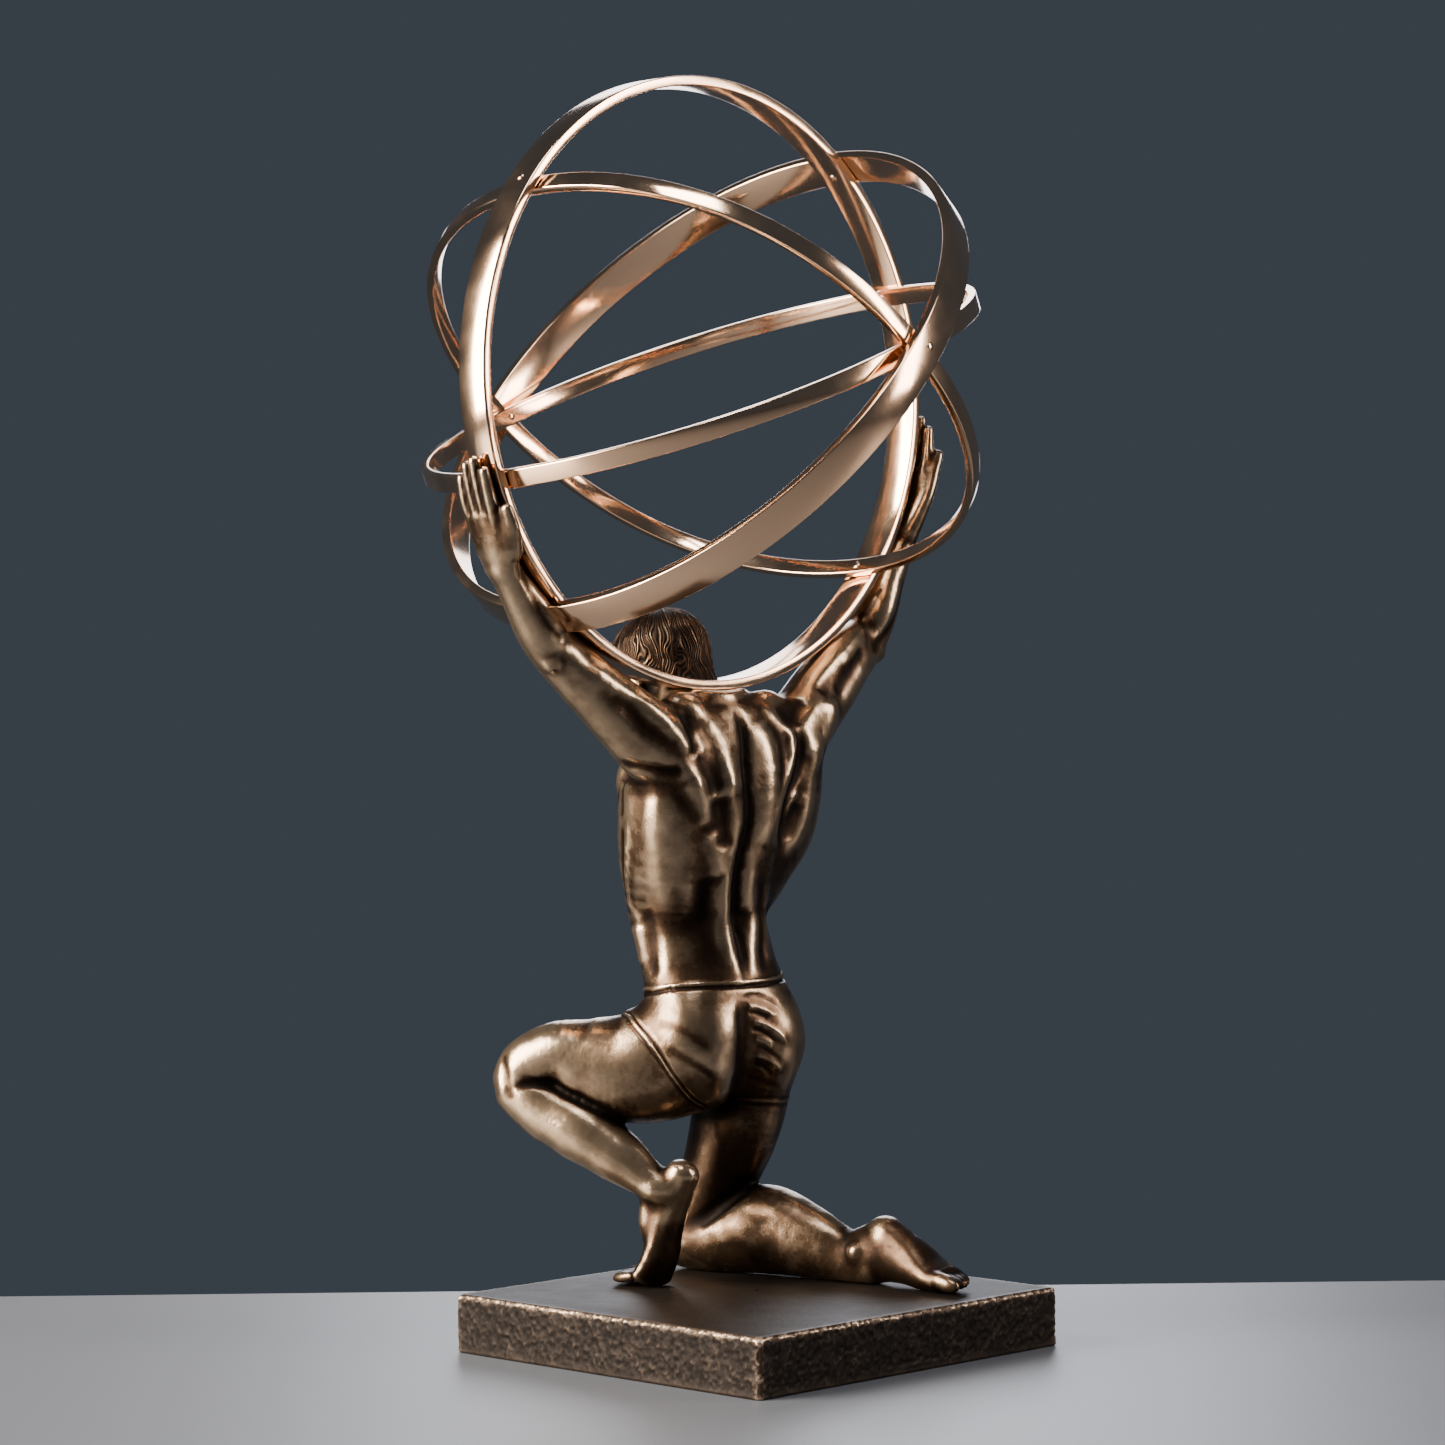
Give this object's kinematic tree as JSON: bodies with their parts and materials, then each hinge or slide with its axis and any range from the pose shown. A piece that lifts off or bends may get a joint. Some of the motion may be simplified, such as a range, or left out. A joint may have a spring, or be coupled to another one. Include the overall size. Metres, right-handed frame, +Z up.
{
  "type": "atlas statue",
  "caption": "Tabletop figurine of a kneeling man who carries an openwork sphere of plated bands on his neck and hands, on a square plinth.",
  "frame": {"origin": "middle of the plinth's underside", "axes": "+Z up, the plinth's sides along X and Y, the figure faces -Y and its left hand is at +X"},
  "size_m": [0.1653, 0.1566, 0.3279],
  "materials": {
    "plinth": "cold-cast bronze resin, dark patina, pebbled sides with edges rubbed bright",
    "figure": "cold-cast bronze resin, dark patina in the hollows, rubbed to a warm sheen on the high places",
    "bands": "bright rose gold plating on flat metal band"
  },
  "bodies": {
    "root": {"plinth": "plinth", "figure": "figure", "upright_ring": "bands", "tilted_ring": "bands", "rising_ring": "bands", "girdle_ring": "bands"}
  },
  "joints": []
}
